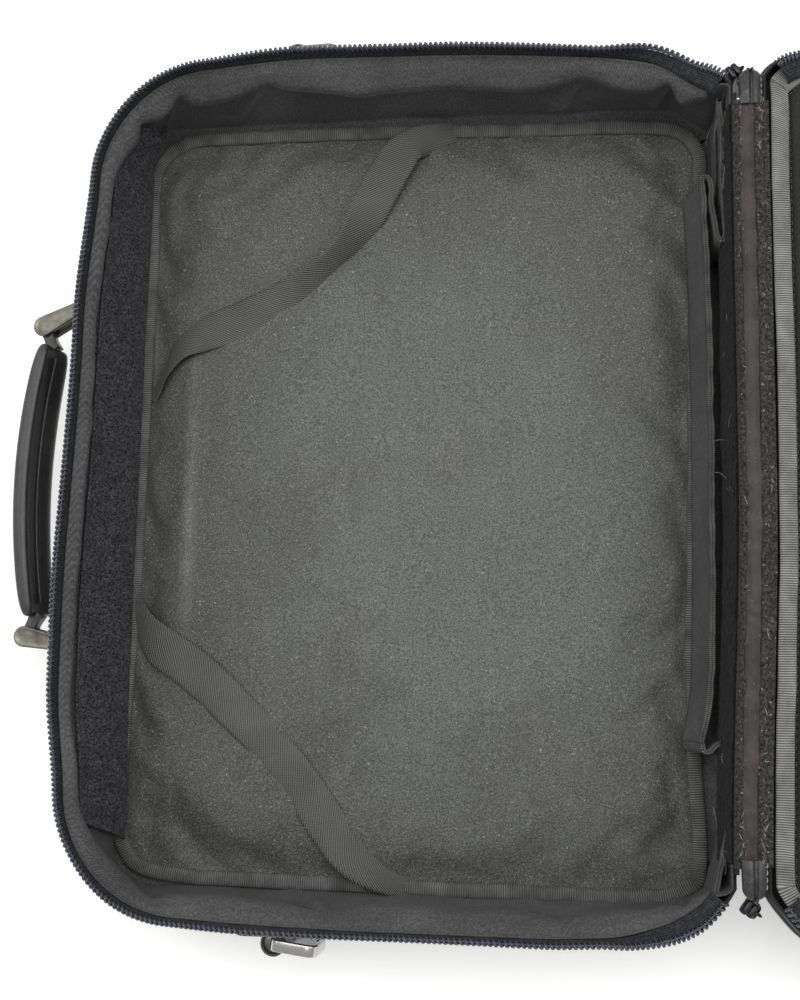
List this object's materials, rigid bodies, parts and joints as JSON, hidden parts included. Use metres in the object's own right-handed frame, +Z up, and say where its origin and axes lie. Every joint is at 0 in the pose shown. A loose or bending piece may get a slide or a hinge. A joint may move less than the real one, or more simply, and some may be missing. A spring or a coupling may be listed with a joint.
{
  "type": "padded zip case",
  "caption": "Soft padded zip case lying open: deep lined half with corner straps and a pocket, fabric spine, padded lid, carrying handle and shoulder-strap rings.",
  "frame": {"origin": "on the ground, under the middle of the deep half's rim", "axes": "+X from the handle towards the spine and lid, +Y towards one short side, +Z up"},
  "size_m": [0.6597, 0.429, 0.076],
  "materials": {
    "outer_fabric": "black ballistic weave",
    "piping": "black satin",
    "board": "matt",
    "foam": "matt",
    "twill_lining": "charcoal twill",
    "satin_floor": "charcoal satin twill, faded in the middle",
    "grosgrain": "ribbed woven tape",
    "loop_pile": "fuzzy blue-black loops",
    "elastic": "ribbed black elastic",
    "zip_tape": "dark woven tape",
    "zip_coil": "glossy graphite",
    "spine_vinyl": "smooth worn taupe black",
    "spine_seam": "rough worn seam",
    "leather": "grained black",
    "antique_nickel": "antique nickel",
    "bright_nickel": "bright nickel",
    "slider_metal": "gunmetal"
  },
  "bodies": {
    "case_base": {"shell_outer": "outer_fabric", "base_piping": "piping", "base_board": "board", "base_foam": "foam", "wall_foam": "foam", "wall_lining": "twill_lining", "hinge_wall_lining": "twill_lining", "floor_pad": "satin_floor", "floor_binding": "grosgrain", "handle_side_loop_strip": "loop_pile", "hinge_side_loop_strip": "loop_pile", "corner_strap_upper": "elastic", "corner_strap_lower": "elastic", "base_zip_tape": "zip_tape", "base_zip_coil": "zip_coil", "zip_slider_upper": "slider_metal", "zip_slider_lower": "slider_metal", "pocket_gusset_upper": "twill_lining", "pocket_gusset_lower": "twill_lining", "handle_bracket_upper": "antique_nickel", "handle_bracket_lower": "antique_nickel", "ring_chape_upper": "leather", "ring_chape_lower": "leather"},
    "pocket": {"pocket_panel": "twill_lining", "pocket_hem": "grosgrain"},
    "spine": {"spine_strip": "spine_vinyl", "spine_seam": "spine_seam", "zip_end_tab_upper": "leather", "zip_end_tab_lower": "leather"},
    "lid": {"lid_shell": "outer_fabric", "lid_board": "board", "lid_foam": "foam", "lid_lining": "twill_lining", "lid_binding": "grosgrain", "lid_zip_tape": "zip_tape", "lid_zip_coil": "zip_coil"},
    "upper_link": {"handle_link_upper": "antique_nickel"},
    "grip": {"handle_grip": "leather", "handle_neck_upper": "leather", "handle_neck_lower": "leather"},
    "lower_link": {"handle_link_lower": "antique_nickel"},
    "upper_ring": {"strap_ring_upper": "bright_nickel"},
    "lower_ring": {"strap_ring_lower": "bright_nickel"},
    "upper_pull": {"zip_pull_upper": "slider_metal"},
    "lower_pull": {"zip_pull_lower": "slider_metal"}
  },
  "joints": [
    {"name": "lid_fold", "type": "hinge", "parent": "spine", "child": "lid", "pos_m": [0.1675, 0, 0.066], "axis": [0, -1, 0], "range_deg": [0, 100.69]},
    {"name": "spine_fold", "type": "hinge", "parent": "case_base", "child": "spine", "pos_m": [0.156, 0, 0.066], "axis": [0, -1, 0], "range_deg": [0, 90]},
    {"name": "pocket_open", "type": "hinge", "parent": "case_base", "child": "pocket", "pos_m": [0.1475, 0.012, 0.013], "axis": [0, -1, 0], "range_deg": [-6, 25], "deforming": ["pocket_gusset_upper", "pocket_gusset_lower"]},
    {"name": "upper_link_swing", "type": "hinge", "parent": "case_base", "child": "upper_link", "pos_m": [-0.1585, 0.0856, 0.036], "axis": [0, 0, 1], "range_deg": [-20, 14]},
    {"name": "grip_swing", "type": "hinge", "parent": "upper_link", "child": "grip", "pos_m": [-0.17454, 0.07743, 0.036], "axis": [0, 0, 1], "range_deg": [-15.1, 21.6]},
    {"name": "lower_link_swing", "type": "hinge", "parent": "case_base", "child": "lower_link", "pos_m": [-0.1585, -0.077, 0.036], "axis": [0, 0, 1], "range_deg": [-18.3, 12.8]},
    {"name": "upper_ring_swing", "type": "hinge", "parent": "case_base", "child": "upper_ring", "pos_m": [-0.05, 0.2085, 0.038], "axis": [0, 0, 1], "range_deg": [0, 150]},
    {"name": "lower_ring_swing", "type": "hinge", "parent": "case_base", "child": "lower_ring", "pos_m": [-0.05, -0.2085, 0.038], "axis": [0, 0, -1], "range_deg": [0, 150]},
    {"name": "upper_pull_swing", "type": "hinge", "parent": "case_base", "child": "upper_pull", "pos_m": [0.15881, 0.18738, 0.053], "axis": [0.5736, -0.8192, 0], "range_deg": [0, 120]},
    {"name": "lower_pull_swing", "type": "hinge", "parent": "case_base", "child": "lower_pull", "pos_m": [0.15881, -0.18738, 0.053], "axis": [-0.5736, -0.8192, 0], "range_deg": [0, 120]}
  ],
  "couplings": [
    {"joint": "spine_fold", "follows": "lid_fold", "ratio": 0.89379},
    {"joint": "grip_swing", "follows": "upper_link_swing", "ratio": -1.075},
    {"joint": "lower_link_swing", "follows": "upper_link_swing", "ratio": 0.91}
  ]
}
